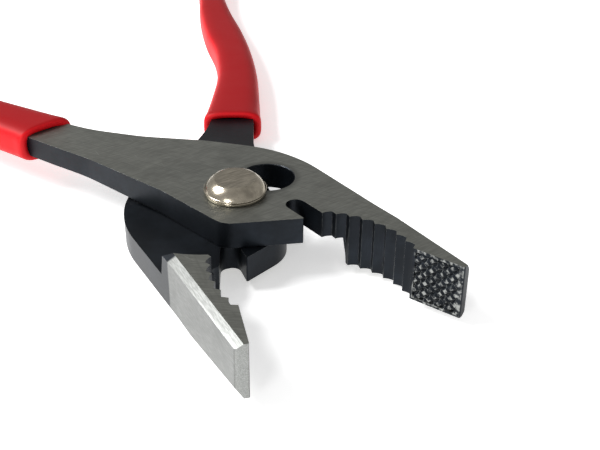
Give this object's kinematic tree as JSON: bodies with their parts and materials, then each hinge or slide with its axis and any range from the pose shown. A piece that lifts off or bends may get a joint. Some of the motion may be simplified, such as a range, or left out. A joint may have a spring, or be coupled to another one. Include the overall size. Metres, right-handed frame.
{
  "type": "slip joint pliers",
  "caption": "Two-position slip joint pliers lying open, with serrated pipe grip, diamond-knurled flats, wire-cutter notches and dipped plastic handle grips.",
  "frame": {"origin": "centre of the rivet's flat tail, on the pivot axis, under the lower lever", "axes": "+Z along the pivot axis from the tail to the rivet's head; +Y away from the jaws, about along the lower handle; +X towards the upper jaw's side"},
  "size_m": [0.1675, 0.2007, 0.0147],
  "materials": {
    "lever_steel": "forged steel, black oxide sides, ground satin faces",
    "plated_steel": "nickel plated, polished",
    "grip_plastic": "dipped soft plastic, satin gloss"
  },
  "bodies": {
    "upper": {"upper_lever": "lever_steel", "upper_grip": "grip_plastic"},
    "slider": {"pivot_washer": "plated_steel"},
    "lower": {"lower_lever": "lever_steel", "pivot_rivet": "plated_steel", "lower_grip": "grip_plastic"}
  },
  "joints": [
    {"name": "slot_slide", "type": "slide", "parent": "upper", "child": "slider", "axis": [0.6772, 0.7358, 0], "range_m": [0, 0.00806]},
    {"name": "jaw_pivot", "type": "hinge", "parent": "slider", "child": "lower", "pos_m": [0, 0, 0], "axis": [0, 0, 1], "range_deg": [-12, 41]}
  ]
}
